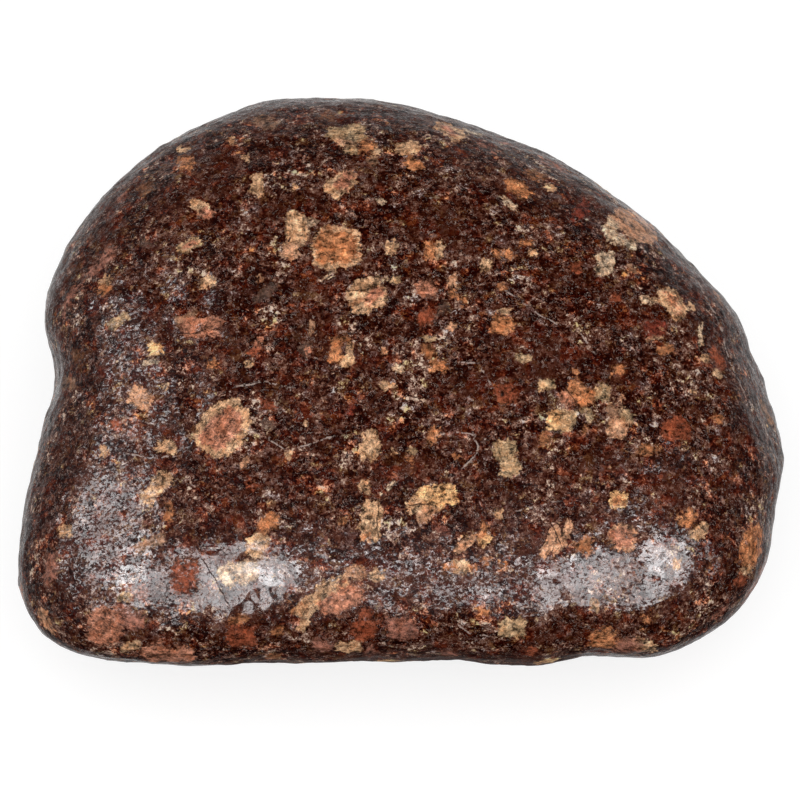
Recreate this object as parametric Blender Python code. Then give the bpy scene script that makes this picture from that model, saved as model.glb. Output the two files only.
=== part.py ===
# A river-worn pebble of porphyry, lying on its broad underside. Metres, +Z up, front towards -Y.
#
# The stone is one solid, shaped in a leaning frame: u runs to the right, v up and away along a
# plane that leans back, and w outwards, square to that plane. Its outline is drawn in u and v, and
# its thickness follows a rounded profile along w. Worn flats are then ground on it, lumps and hollows
# are pressed into it, and its lowest point is worn to a small flat that it rests on.

from math import cos, radians, sin

import bmesh
import bpy
import numpy as np

MM = 0.001
NODE_NAME = "porphyry_pebble"

# How far the outline's plane is turned up from the upright, so that it faces up and to the front.
LEAN = radians(60)

# The outline, anticlockwise from the right-hand side, in millimetres from its middle.
OUTLINE = (
    (36.12, 0.2), (34.8, 3.41), (33.65, 6.33), (29.88, 10.66), (25.76, 14.87), (19.8, 19.5), (13.3, 23.1),
    (5.8, 25.9), (-1.5, 27.75), (-7.98, 28.22), (-13.0, 27.9), (-19.0, 25.9), (-24.5, 22.9),
    (-29.27, 18.74), (-32.9, 14.1), (-35.44, 8.06), (-35.95, 2.01), (-35.75, -3.96),
    (-36.66, -9.54), (-37.82, -16.52), (-37.3, -22.2), (-34.38, -26.03), (-28.21, -27.91), (-20.5, -28.3),
    (-12.0, -28.1), (-3.02, -28.1), (6.0, -27.9), (12.9, -28.3), (19.11, -27.36), (24.0, -27.4),
    (28.4, -26.3), (33.1, -23.0), (36.1, -18.5), (36.97, -13.51), (38.2, -7.3), (37.5, -3.9),
)
OUTLINE_WIDE = 38.0
OUTLINE_HIGH = 28.4

# The thickness above and below the outline's plane, and how square each side's profile is.
# The shear leans the profile so that the stone lies level although its outline's plane leans.
TOP_RISE = 17.5
TOP_SQUARENESS = 2.7
BOTTOM_RISE = 18.0
BOTTOM_SQUARENESS = 2.5
PROFILE_SHEAR = 0.36

# How quickly the outline turns into a plain ellipse on the way from the edge to the middle.
INWARD_ROUNDING = 1.8

# Worn flats: the way each one faces in u, v and w, its distance from the middle and the softness
# of its edges.
FLATS = (
    ((0.90, 0.33, 0.28), 33.1, 0.35),
    ((0.45, 0.75, -0.50), 29.2, 0.8),
    ((-0.60, -0.10, -0.80), 27.7, 0.8),
    ((0.60, -0.20, -0.75), 27.4, 0.7),
    ((0.10, 0.35, -0.93), 26.5, 0.8),
)

# Lumps and hollows: the middle of each one in u, v and w, its reach along u, v and w, and its
# height, less than nothing for a hollow.
LUMPS = (
    (-23.0, -18.0, 14.0, 12.0, 8.0, 14.0, 0.7),
    (22.0, -18.0, 14.0, 12.0, 8.0, 14.0, 0.7),
    (-36.0, 1.0, 2.0, 4.0, 2.8, 6.0, -1.5),
    (-30.0, -0.5, 9.0, 9.0, 3.0, 8.0, -0.5),
    (-17.0, 19.0, -19.0, 7.0, 5.0, 4.0, -0.7),
    (6.0, 21.0, -18.0, 6.0, 5.0, 4.0, 0.5),
    (24.0, 12.0, -18.0, 6.0, 7.0, 5.0, 0.6),
    (-20.0, -14.0, -12.0, 9.0, 7.0, 8.0, -0.5),
)

# The depth that wear has taken off the lowest point, which leaves the flat to rest on.
REST_WEAR = 0.45

# The mesh: faces along each edge of the cube that is blown up into the stone, and how close to the
# resting plane a point counts as lying on it.
FACES_ALONG_EDGE = 26
ON_PLANE = 1e-6

# The stone's plain colour and how dull its polish is.
BASE_COLOUR = (0.055, 0.025, 0.018, 1)
ROUGHNESS = 0.3


def closed_spline(x, knots, values):
    """Value at x of the smooth closed curve through the knots, which go once round a full turn."""
    count = len(knots)
    after = np.roll(np.arange(count), -1)
    gap = (knots[after] - knots) % (2 * np.pi)
    rise = (values[after] - values) / gap
    before = np.roll(np.arange(count), 1)
    matrix = np.zeros((count, count))
    rows = np.arange(count)
    matrix[rows, before] = gap
    matrix[rows, rows] = 2 * (gap + gap[before])
    matrix[rows, after] = gap[before]
    slopes = np.linalg.solve(matrix, 3 * (gap * rise[before] + gap[before] * rise))
    piece = (np.searchsorted(knots, x % (2 * np.pi), side="right") - 1) % count
    step = ((x - knots[piece]) % (2 * np.pi)) / gap[piece]
    start = values[piece]
    end = values[after][piece]
    return (
        start * (1 + 2 * step) * (1 - step) ** 2
        + end * step ** 2 * (3 - 2 * step)
        + gap[piece] * step * (1 - step) ** 2 * slopes[piece]
        - gap[piece] * step ** 2 * (1 - step) * slopes[after][piece]
    )


def outline_reach(turn):
    """How far the outline reaches at each turn, as a share of its plain ellipse."""
    points = np.array(OUTLINE) / (OUTLINE_WIDE, OUTLINE_HIGH)
    knots = np.arctan2(points[:, 1], points[:, 0]) % (2 * np.pi)
    order = np.argsort(knots)
    return closed_spline(turn, knots[order], np.hypot(*points.T)[order])


def rounded_body(directions):
    """The plain stone: the outline shrinks and rounds off as the profile rises to the middle."""
    turn = np.arctan2(directions[:, 1], directions[:, 0])
    level = np.hypot(directions[:, 0], directions[:, 1])
    rise = directions[:, 2]
    squareness = np.where(rise > 0, TOP_SQUARENESS, BOTTOM_SQUARENESS)
    grow = (level ** squareness + np.abs(rise) ** squareness) ** (-1 / squareness)
    share = level * grow
    reach = share * (1 + (outline_reach(turn) - 1) * (1 - INWARD_ROUNDING * (1 - share)))
    u = OUTLINE_WIDE * reach * np.cos(turn)
    v = OUTLINE_HIGH * reach * np.sin(turn)
    t = np.where(rise > 0, TOP_RISE, BOTTOM_RISE) * rise * grow
    return np.stack([u, v, t - PROFILE_SHEAR * v], axis=1)


def grind(points, facing, distance, softness):
    """Wear a flat: what stands beyond the plane is moved back onto it, with a soft edge."""
    facing = np.array(facing) / np.linalg.norm(facing)
    beyond = points @ facing - distance
    worn = softness * np.logaddexp(0, beyond / softness)
    return points - worn[:, None] * facing


def press(points, directions, middle, reach, height):
    """Raise or sink a patch outwards, falling off as a bell curve around its middle."""
    offset = (points - middle) / reach
    amount = height * np.exp(-(offset ** 2).sum(axis=1) / 2)
    return points + amount[:, None] * directions


def stone_points(directions):
    """The stone's surface along each direction, in metres, resting on z = 0."""
    points = rounded_body(directions)
    for facing, distance, softness in FLATS:
        points = grind(points, facing, distance, softness)
    for lump in LUMPS:
        points = press(points, directions, lump[:3], lump[3:6], lump[6])
    u, v, w = points.T
    placed = np.stack([u, v * sin(LEAN) - w * cos(LEAN), v * cos(LEAN) + w * sin(LEAN)], axis=1)
    placed[:, 2] -= placed[:, 2].min() + REST_WEAR
    placed[:, :2] -= (placed[:, :2].min(axis=0) + placed[:, :2].max(axis=0)) / 2
    return placed * MM


def stone_material():
    material = bpy.data.materials.new("porphyry")
    material.use_nodes = True
    shader = material.node_tree.nodes["Principled BSDF"]
    shader.inputs["Base Color"].default_value = BASE_COLOUR
    shader.inputs["Roughness"].default_value = ROUGHNESS
    shader.inputs["Metallic"].default_value = 0
    return material


def build_stone():
    body = bmesh.new()
    bmesh.ops.create_cube(body, size=2)
    bmesh.ops.subdivide_edges(body, edges=body.edges[:], cuts=FACES_ALONG_EDGE - 1, use_grid_fill=True)
    cube = np.tan(np.array([vertex.co for vertex in body.verts]) * np.pi / 4)
    directions = cube / np.linalg.norm(cube, axis=1, keepdims=True)
    for vertex, point in zip(body.verts, stone_points(directions)):
        vertex.co = point
    everything = body.verts[:] + body.edges[:] + body.faces[:]
    bmesh.ops.bisect_plane(
        body, geom=everything, plane_co=(0, 0, 0), plane_no=(0, 0, -1), dist=ON_PLANE, clear_outer=True
    )
    rim = [edge for edge in body.edges if edge.is_boundary]
    bmesh.ops.contextual_create(body, geom=rim)
    bmesh.ops.recalc_face_normals(body, faces=body.faces[:])
    mesh = bpy.data.meshes.new(NODE_NAME)
    body.to_mesh(mesh)
    body.free()
    mesh.shade_smooth()
    mesh.materials.append(stone_material())
    stone = bpy.data.objects.new(NODE_NAME, mesh)
    bpy.context.collection.objects.link(stone)


for leftover in list(bpy.data.objects):
    bpy.data.objects.remove(leftover)
build_stone()
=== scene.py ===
from math import cos, pi, radians, sin, tan

import bpy
import numpy as np
from mathutils import Matrix, Vector


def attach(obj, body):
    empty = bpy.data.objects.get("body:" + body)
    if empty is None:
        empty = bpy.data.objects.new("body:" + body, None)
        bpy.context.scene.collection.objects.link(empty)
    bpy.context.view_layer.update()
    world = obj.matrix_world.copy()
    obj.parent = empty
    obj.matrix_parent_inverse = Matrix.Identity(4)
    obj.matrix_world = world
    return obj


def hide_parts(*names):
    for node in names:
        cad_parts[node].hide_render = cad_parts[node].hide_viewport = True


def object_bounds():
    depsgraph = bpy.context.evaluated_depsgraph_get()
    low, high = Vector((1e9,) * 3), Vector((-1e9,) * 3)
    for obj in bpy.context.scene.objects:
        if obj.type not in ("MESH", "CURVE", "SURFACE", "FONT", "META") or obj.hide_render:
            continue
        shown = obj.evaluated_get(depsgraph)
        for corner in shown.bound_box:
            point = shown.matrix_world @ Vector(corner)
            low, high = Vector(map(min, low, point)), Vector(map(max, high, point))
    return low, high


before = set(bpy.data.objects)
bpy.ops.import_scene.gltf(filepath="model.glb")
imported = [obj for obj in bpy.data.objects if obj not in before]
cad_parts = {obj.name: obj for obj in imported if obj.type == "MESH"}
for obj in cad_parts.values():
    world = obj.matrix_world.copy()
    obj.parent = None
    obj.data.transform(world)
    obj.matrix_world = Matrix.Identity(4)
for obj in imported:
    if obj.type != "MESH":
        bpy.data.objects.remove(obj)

cadBox = [list(corner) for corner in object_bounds()]
print("frame loaded, box in mm:", [[round(1000 * x, 2) for x in corner] for corner in cadBox])

mm = 0.001

# The camera looks at the stone from above its front. Its picture has three axes, all in millimetres:
# u to the right, v up the picture and w towards the camera. Places on the stone are given in u and v,
# measured in the picture from the middle of the stone's outline.
look = {
    "elevation": 60,  # degrees above the horizon
    "lens": 1000,  # mm; a long lens, so that the outline is seen nearly without perspective
    "sensor": 36,
    "pictureWidth": 80,  # mm of the scene across the picture, at the stone's middle
    "pictureMiddle": (-0.1, -1.8),  # what the camera is aimed at, in u and v
    "outlineAboveBoxMiddle": -0.12,  # the outline's middle is this much further up than the box's
}
tilt = radians(look["elevation"])
uAxis = np.array((1.0, 0.0, 0.0))
vAxis = np.array((0.0, sin(tilt), cos(tilt)))
wAxis = np.array((0.0, -cos(tilt), sin(tilt)))
cameraDistance = look["pictureWidth"] * look["lens"] / look["sensor"]
boxMiddle = (np.array(cadBox[0]) + np.array(cadBox[1])) / 2 / mm
outlineMiddle = boxMiddle + look["outlineAboveBoxMiddle"] * vAxis
aim = outlineMiddle + look["pictureMiddle"][0] * uAxis + look["pictureMiddle"][1] * vAxis


def linear(red, green, blue):
    # A colour given as it shows on a screen, 0 to 255, turned into the amounts of light that it reflects.
    shown = np.array((red, green, blue)) / 255
    return tuple(np.where(shown > 0.04045, ((shown + 0.055) / 1.055) ** 2.4, shown / 12.92))


# Nodes

class Wire:
    # One output of a node. Python's operators on it add Math nodes.
    def __init__(self, board, socket):
        self.board = board
        self.socket = socket

    def __add__(self, other):
        return self.board.maths("ADD", self, other)

    def __radd__(self, other):
        return self.board.maths("ADD", other, self)

    def __sub__(self, other):
        return self.board.maths("SUBTRACT", self, other)

    def __rsub__(self, other):
        return self.board.maths("SUBTRACT", other, self)

    def __mul__(self, other):
        return self.board.maths("MULTIPLY", self, other)

    def __rmul__(self, other):
        return self.board.maths("MULTIPLY", other, self)

    def __pow__(self, other):
        return self.board.maths("POWER", self, other)


class Board:
    # The node tree of a material or of the world.
    def __init__(self, owner):
        owner.use_nodes = True
        self.tree = owner.node_tree

    def add(self, kind, settings=None, sockets=None, output=0):
        # A node of any type: its settings first, then the values or links of its sockets.
        node = self.tree.nodes.new(kind)
        for name, value in (settings or {}).items():
            if name == "stops":
                self.setStops(node.color_ramp, value)
            else:
                setattr(node, name, value)
        for name, value in (sockets or {}).items():
            self.plug(node, name, value)
        return Wire(self, node.outputs[output])

    def plug(self, node, name, value):
        if isinstance(value, Wire):
            self.tree.links.new(value.socket, node.inputs[name])
        else:
            node.inputs[name].default_value = value

    def setStops(self, ramp, stops):
        while len(ramp.elements) < len(stops):
            ramp.elements.new(1)
        for element, (place, colour) in zip(ramp.elements, stops):
            element.position = place
            element.color = (*colour, 1)

    def maths(self, operation, *values):
        return self.add("ShaderNodeMath", {"operation": operation}, dict(enumerate(values)))

    def mixed(self, amount, first, second):
        return self.add("ShaderNodeMix", {"data_type": "RGBA"}, {0: amount, 6: first, 7: second}, 2)

    def step(self, value, start, end, low=0, high=1):
        # A soft step: low before start, high after end.
        sockets = {"Value": value, "From Min": start, "From Max": end, "To Min": low, "To Max": high}
        return self.add("ShaderNodeMapRange", {"interpolation_type": "SMOOTHSTEP"}, sockets)

    def noise(self, place, scale, detail, roughness=0.5, output=0):
        sockets = {"Vector": place, "Scale": scale, "Detail": detail, "Roughness": roughness}
        return self.add("ShaderNodeTexNoise", None, sockets, output)

    def vector(self, operation, *values):
        return self.add("ShaderNodeVectorMath", {"operation": operation}, dict(enumerate(values)))

    def scaled(self, value, factor):
        return self.add("ShaderNodeVectorMath", {"operation": "SCALE"}, {0: value, "Scale": factor})

    def attribute(self, name, output="Fac"):
        return self.add("ShaderNodeAttribute", {"attribute_name": name}, None, output)

    def parts(self, vector):
        # The three numbers of a vector.
        node = self.add("ShaderNodeSeparateXYZ", None, {"Vector": vector}).socket.node
        return [Wire(self, output) for output in node.outputs]


# The stone's form: the same one as the frame's solid, on a finer mesh.
form = {
    "lean": 60,  # degrees that the outline's plane leans back from upright
    "outline": (
        (36.12, 0.2), (34.8, 3.41), (33.65, 6.33), (29.88, 10.66), (25.76, 14.87), (19.8, 19.5),
        (13.3, 23.1), (5.8, 25.9), (-1.5, 27.75), (-7.98, 28.22), (-13, 27.9), (-19, 25.9),
        (-24.5, 22.9), (-29.27, 18.74), (-32.9, 14.1), (-35.44, 8.06), (-35.95, 2.01), (-35.75, -3.96),
        (-36.66, -9.54), (-37.82, -16.52), (-37.3, -22.2), (-34.38, -26.03), (-28.21, -27.91),
        (-20.5, -28.3), (-12, -28.1), (-3.02, -28.1), (6, -27.9), (12.9, -28.3), (19.11, -27.36),
        (24, -27.4), (28.4, -26.3), (33.1, -23), (36.1, -18.5), (36.97, -13.51), (38.2, -7.3),
        (37.5, -3.9),
    ),
    "wide": 38, "high": 28.4,
    "topRise": 17.5, "topSquareness": 2.7,
    "bottomRise": 18, "bottomSquareness": 2.5,
    "shear": 0.36,
    "inwardRounding": 1.8,
    # worn flats: facing, distance from the middle, softness of the edge
    "flats": (
        ((0.90, 0.33, 0.28), 33.1, 0.35),
        ((0.45, 0.75, -0.50), 29.2, 0.8),
        ((-0.60, -0.10, -0.80), 27.7, 0.8),
        ((0.60, -0.20, -0.75), 27.4, 0.7),
        ((0.10, 0.35, -0.93), 26.5, 0.8),
    ),
    # lumps and hollows: middle, reach, height
    "lumps": (
        ((-23, -18, 14), (12, 8, 14), 0.7),
        ((22, -18, 14), (12, 8, 14), 0.7),
        ((-36, 1, 2), (4, 2.8, 6), -1.5),
        ((-30, -0.5, 9), (9, 3, 8), -0.5),
        ((-17, 19, -19), (7, 5, 4), -0.7),
        ((6, 21, -18), (6, 5, 4), 0.5),
        ((24, 12, -18), (6, 7, 5), 0.6),
        ((-20, -14, -12), (9, 7, 8), -0.5),
    ),
    "restWear": 0.45,  # mm worn off the lowest point
    "facesAlongEdge": 128,  # of the cube that is blown up into the stone
}


def cubeGrid(count):
    # Six square grids on a cube, as whole numbers 0 to count, with the points that two grids share merged.
    # Returns the points, and the faces with their corners anticlockwise from outside.
    a, b = np.meshgrid(np.arange(count + 1), np.arange(count + 1), indexing="ij")
    near = np.zeros_like(a)
    far = np.full_like(a, count)
    sides = [(far, a, b), (near, b, a), (b, far, a), (a, near, b), (a, b, far), (b, a, near)]
    lattice = np.concatenate([np.stack(side, axis=-1).reshape(-1, 3) for side in sides])
    points, where = np.unique(lattice, axis=0, return_inverse=True)
    index = where.reshape(6, count + 1, count + 1)
    corners = [index[:, :-1, :-1], index[:, 1:, :-1], index[:, 1:, 1:], index[:, :-1, 1:]]
    return points, np.stack(corners, axis=-1).reshape(-1, 4)


def closedSpline(x, knots, values):
    # Smooth closed curve through the knots: cubic pieces whose slopes come from one system of equations.
    count = len(knots)
    after = np.roll(np.arange(count), -1)
    before = np.roll(np.arange(count), 1)
    rows = np.arange(count)
    gap = (knots[after] - knots) % (2 * pi)
    rise = (values[after] - values) / gap
    matrix = np.zeros((count, count))
    matrix[rows, before] = gap
    matrix[rows, rows] = 2 * (gap + gap[before])
    matrix[rows, after] = gap[before]
    slopes = np.linalg.solve(matrix, 3 * (gap * rise[before] + gap[before] * rise))
    piece = (np.searchsorted(knots, x % (2 * pi), side="right") - 1) % count
    part = ((x - knots[piece]) % (2 * pi)) / gap[piece]
    start = values[piece] * (1 + 2 * part) * (1 - part) ** 2
    end = values[after][piece] * part ** 2 * (3 - 2 * part)
    lean = slopes[piece] * part * (1 - part) ** 2 - slopes[after][piece] * part ** 2 * (1 - part)
    return start + end + gap[piece] * lean


def stoneForm(directions):
    # Outline times a rounded profile, then flats ground on, lumps pressed in, laid level on z = 0. In mm.
    outline = np.array(form["outline"]) / (form["wide"], form["high"])
    knots = np.arctan2(outline[:, 1], outline[:, 0]) % (2 * pi)
    order = np.argsort(knots)
    turn = np.arctan2(directions[:, 1], directions[:, 0])
    level = np.hypot(directions[:, 0], directions[:, 1])
    rise = directions[:, 2]
    square = np.where(rise > 0, form["topSquareness"], form["bottomSquareness"])
    grow = (level ** square + np.abs(rise) ** square) ** (-1 / square)
    share = level * grow
    reach = closedSpline(turn, knots[order], np.hypot(*outline.T)[order]) - 1
    reach = share * (1 + reach * (1 - form["inwardRounding"] * (1 - share)))
    u = form["wide"] * reach * np.cos(turn)
    v = form["high"] * reach * np.sin(turn)
    thickness = np.where(rise > 0, form["topRise"], form["bottomRise"]) * rise * grow
    points = np.stack([u, v, thickness - form["shear"] * v], axis=1)
    for facing, distance, softness in form["flats"]:
        facing = np.array(facing) / np.linalg.norm(facing)
        beyond = points @ facing - distance
        points = points - (softness * np.logaddexp(0, beyond / softness))[:, None] * facing
    for middle, spread, height in form["lumps"]:
        bell = np.exp(-(((points - middle) / spread) ** 2).sum(axis=1) / 2)
        points = points + height * bell[:, None] * directions
    lean = radians(form["lean"])
    u, v, w = points.T
    placed = np.stack([u, v * sin(lean) - w * cos(lean), v * cos(lean) + w * sin(lean)], axis=1)
    placed[:, 2] -= placed[:, 2].min() + form["restWear"]
    placed[:, :2] -= (placed[:, :2].min(axis=0) + placed[:, :2].max(axis=0)) / 2
    return placed


def facesAcross(points, faces):
    # Each face's normal, as long as twice its area: the cross product of its diagonals.
    return np.cross(points[faces[:, 2]] - points[faces[:, 0]], points[faces[:, 3]] - points[faces[:, 1]])


def surfaceNormals(points, faces):
    # Each point's normal: the sum of the normals of the faces around it.
    across = facesAcross(points, faces)
    normals = np.zeros_like(points)
    for corner in range(4):
        for axis in range(3):
            normals[:, axis] += np.bincount(faces[:, corner], across[:, axis], len(points))
    return normals / np.linalg.norm(normals, axis=1, keepdims=True)


def waves(points, wavelength, seed, count=40):
    # A rolling field of about this wavelength in mm: the mean of many sine waves in random directions.
    draw = np.random.default_rng(seed)
    ways = draw.normal(size=(count, 3))
    ways /= np.linalg.norm(ways, axis=1, keepdims=True)
    rates = 2 * pi / (wavelength * draw.uniform(0.75, 1.35, count))
    phases = draw.uniform(0, 2 * pi, count)
    return np.sin(points @ (ways * rates[:, None]).T + phases).sum(axis=1) * np.sqrt(2 / count)


def pictured(points):
    # Where points show in the picture, in mm of u and v at the stone's middle, as the lens draws them.
    away = points - aim
    shrink = 1 - (away @ wAxis) / cameraDistance
    return np.stack([away @ uAxis, away @ vAxis], axis=1) / shrink[:, None] + look["pictureMiddle"]


# Worn relief: rolling waves of a few sizes, in mm, on top of the form.
relief = {
    "waves": ((9.0, 0.05), (4.5, 0.035), (2.2, 0.028), (1.2, 0.017)),  # wavelength, height
}


def wornSurface(points, normals):
    # Each point moved out along its normal by the sum of the waves, and none of them below z = 0.
    height = np.zeros(len(points))
    for seed, (wavelength, size) in enumerate(relief["waves"]):
        height += size * waves(points, wavelength, seed)
    moved = points + height[:, None] * normals
    moved[:, 2] = np.maximum(moved[:, 2], 0)
    return moved


lattice, faces = cubeGrid(form["facesAlongEdge"])
directions = np.tan((lattice / form["facesAlongEdge"] * 2 - 1) * pi / 4)
directions /= np.linalg.norm(directions, axis=1, keepdims=True)
points = stoneForm(directions)
normals = surfaceNormals(points, faces)
points = wornSurface(points, normals)
normals = surfaceNormals(points, faces)
seen = pictured(points)
print("stone form:", len(points), "points,", len(faces), "faces")

# Crystals. Every patch is (u, v, length, width, turn): its middle in the picture's axes, its length and
# width in mm, and how far its length is turned up from the u axis, in degrees, left out where that is 0.
# The pale patches lie under the warm ones, so a pale patch with a smaller warm one on it is a crystal with
# a pale rim. The number after a tone's colour is how fully it covers the ground.
paleTones = {
    "cream": ((184, 142, 108), 1),
    "gold": ((212, 160, 112), 1),
    "greenCream": ((162, 130, 98), 1),
    "pinkCream": ((176, 128, 98), 1),
    "white": ((190, 160, 132), 1),
    "tan": ((144, 106, 82), 0.9),
    "faint": ((140, 106, 84), 0.5),
    "greyGreen": ((86, 66, 56), 0.7),
}
warmTones = {
    "peach": ((206, 142, 108), 1),
    "salmon": ((164, 108, 84), 1),
    "orange": ((176, 114, 76), 1),
    "ochre": ((146, 94, 62), 0.9),
    "rust": ((128, 66, 44), 0.9),
    "red": ((122, 54, 40), 0.8),
    "pink": ((140, 92, 76), 0.9),
    "faintPink": ((116, 72, 60), 0.5),
    "faintOchre": ((136, 90, 62), 0.5),
}
palePatches = {
    "cream": (
        (-21.7, 23.3, 1.4, 0.6, 15), (-20.1, 17.5, 2.2, 1.2, -30), (-19.4, 10, 1.6, 1.3),
        (-29.4, 10.2, 1.4, 1.2, 45), (-10.5, 15.4, 3.2, 2.3, 90), (-0.9, 13.4, 1.6, 1.5),
        (-14.4, 19.7, 2.4, 1.3, 90), (-10.6, 19.5, 0.8, 0.8), (-16.9, 24.1, 0.7, 0.6),
        (-15.5, 22.5, 0.9, 0.7), (-18.9, 10.2, 1, 0.8), (-5.9, 19.9, 3.2, 2.1, 30),
        (4.9, 25.2, 3.2, 1.8, -35), (0.6, 23.3, 2.5, 1.4, 10), (14.8, 19.5, 1, 0.9),
        (3.8, 13.2, 1.8, 0.9, 90), (13.3, 13, 1, 1), (8.5, 11.6, 1.4, 1.2, 90), (27.2, 7.9, 3.6, 2, -55),
        (25.4, 8.2, 1, 0.7), (29.2, 7.7, 0.8, 0.6, 90), (-23.5, -0.4, 0.8, 0.7),
        (-29.8, -7.1, 1.4, 1, 90), (-23.4, -6.5, 2.4, 1.2), (-23, -6.6, 1.6, 0.9, 80),
        (-17.8, -4.6, 6.2, 4.6, 50), (-3.4, 8.6, 4, 3.5, 30), (-3.9, 9.9, 1.9, 0.9, 10),
        (-5.1, 3, 2.3, 1.1, 90), (-5.5, 1.8, 1.6, 0.9), (-15.1, 1.9, 1, 0.9), (-1.4, -0.4, 1.6, 0.8),
        (-3.1, -6.3, 3.1, 1.9, 80), (0.2, -1.6, 0.7, 0.6), (-0.7, -7, 0.6, 0.6),
        (-11.1, -7.3, 0.8, 0.7, 90), (-12.3, -5.4, 0.8, 0.4), (-9.5, -4, 0.8, 0.5, 90),
        (10.3, 7, 1.6, 0.7), (-3, -14, 4.2, 2.3, 85), (-3.7, -10.5, 1.4, 1.2, 90), (6, -18.5, 2.1, 1.4),
        (10, -13.2, 1.2, 0.9, -20), (30.5, 2.5, 1, 1), (25.4, 4.4, 1.6, 0.5), (31.7, 0.7, 1.4, 0.6, -60),
        (29.4, -1, 1, 0.8, 90), (29.8, -15, 2, 1.4, 30), (34.6, -18.6, 1.8, 1.1, 70),
        (19.3, -22.5, 1.4, 0.8, 90), (27.5, -18.3, 1.4, 1, 90), (-23.6, -9.8, 1.8, 1.6, 90),
        (-24.9, -11, 3, 1.5, 50), (-33.5, -14.9, 1.6, 1.4), (-14.4, -16.3, 2.8, 2.1, 50),
        (-10.8, -14.1, 1, 0.7), (-27.1, -26.6, 2, 1.1, 10), (-8, -21.5, 6.4, 2, 35),
        (-9.8, -24.2, 1.7, 1, 60), (-5.3, -26.5, 2.6, 1.3), (1.9, -12.2, 2.8, 1.7, 10),
        (-2.6, 23.2, 1.1, 1.3), (-6.9, 19.6, 1.5, 1.7), (-6.4, 13.4, 5, 4.3), (-7.7, 12, 1.6, 1.2),
        (24.4, -26.6, 2.6, 1.5, -10), (-2.4, -19.3, 1.8, 1.3),
    ),
    "gold": (
        (3.6, -11.4, 4.2, 2.4, 5), (21.9, -11.8, 1.8, 1.8), (-24.6, 3.4, 1.6, 1.4), (15.2, -3.8, 1.6, 2),
        (8.3, -15.7, 1.6, 1.2, 40),
    ),
    "greenCream": (
        (10.4, -6.8, 2.4, 2), (10.9, -8.6, 2.2, 1.7), (-21.3, 13.7, 2.8, 1.4, 25),
        (-4.8, 24.9, 2.6, 2.1), (-6.6, 25, 1.8, 1.4), (-28.3, 6.1, 2.4, 1, 30), (16.6, -3.9, 1.6, 2.4),
        (18.6, -3.2, 1.9, 0.9, -55), (20, -1.1, 1.9, 1.8), (14.4, -0.3, 1.6, 1.3),
        (12.2, 2.5, 1.4, 0.9, -20), (-4.9, 23.2, 1.3, 1.2), (1.1, -7, 0.8, 0.8),
        (22.6, -3.4, 1.4, 1.2, -20), (11.2, -24.6, 2.8, 2.2), (-27.6, -21.5, 1.4, 1),
        (2.9, 4.2, 1.2, 0.7), (-0.8, 10.2, 1.3, 1),
    ),
    "pinkCream": (
        (-4.5, -19, 2, 1.5), (-5.6, 24, 2.2, 0.9, -10), (-11.1, 13, 2, 1.8), (5.2, 10.2, 1.4, 1, 90),
        (23.4, 15.7, 5.2, 2.9, -35), (-26.1, -1.6, 2.8, 2.3, -20), (5, 5.5, 1.3, 1, 45),
        (6.3, -16.3, 2.6, 1.1, 38), (2.6, -13, 2.4, 1.5, 40), (-15.6, -8, 1.5, 0.8, 60),
        (15, -15.8, 3.8, 1.1, 65), (16.3, -15.6, 3.6, 1, 65), (22.2, -15.5, 3, 2.8),
        (21.6, -4.7, 2.2, 2), (-35.5, -24, 3, 0.8, -62), (-1.7, 3, 0.8, 0.7),
    ),
    "white": (
        (-16.3, -19.1, 4, 2.4, 10), (-34.6, 3.7, 1.2, 0.3, 60), (-2, 18, 1.3, 0.5, -25),
        (-9.2, 16.1, 1.9, 0.4, -15), (-7.4, 10.5, 1.7, 0.4, 25), (10.7, 17.9, 1.8, 0.7, -35),
        (20.4, 12, 2.5, 2, 90), (21.1, 15.4, 2.2, 1.6, 60), (22.4, 14, 2.4, 1, -20),
        (-24.9, 2, 1.6, 0.5), (-16.8, -5.5, 1, 0.8), (-1.3, -10.5, 2, 0.4, 45),
        (29.9, 4.7, 2.4, 0.4, 90), (24.4, 8.2, 1.2, 0.8), (-0.3, 1.4, 1.2, 0.9),
        (7.3, 24.9, 1.8, 0.8, -20),
    ),
    "tan": (
        (-25.1, -16.1, 3.6, 1.2, 25), (-14.3, 10.4, 1, 0.7, 90), (-8.9, 5.2, 1.8, 0.8, 90),
        (23, 11.4, 1, 0.8, 90), (22.1, -1.5, 1, 0.8, 90), (-3, 22.2, 1.4, 0.8, -20),
        (21.3, -2.9, 1.4, 1), (-21.6, 6.4, 2.2, 0.9, 15), (36.5, -2.8, 3, 0.8, -60),
    ),
    "faint": (
        (-13.6, 26, 2.4, 1.4), (-33.3, -0.1, 1.6, 1.4), (-8.7, 15.9, 1, 0.4),
    ),
    "greyGreen": (
        (-25.6, 13.9, 1.4, 0.8), (4.2, 7.4, 1.4, 1.4), (-13.6, 9, 3, 1, 40), (-9.6, 3.2, 1.6, 1.4),
        (-13.3, -4.2, 1.6, 1.2),
    ),
}
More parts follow.
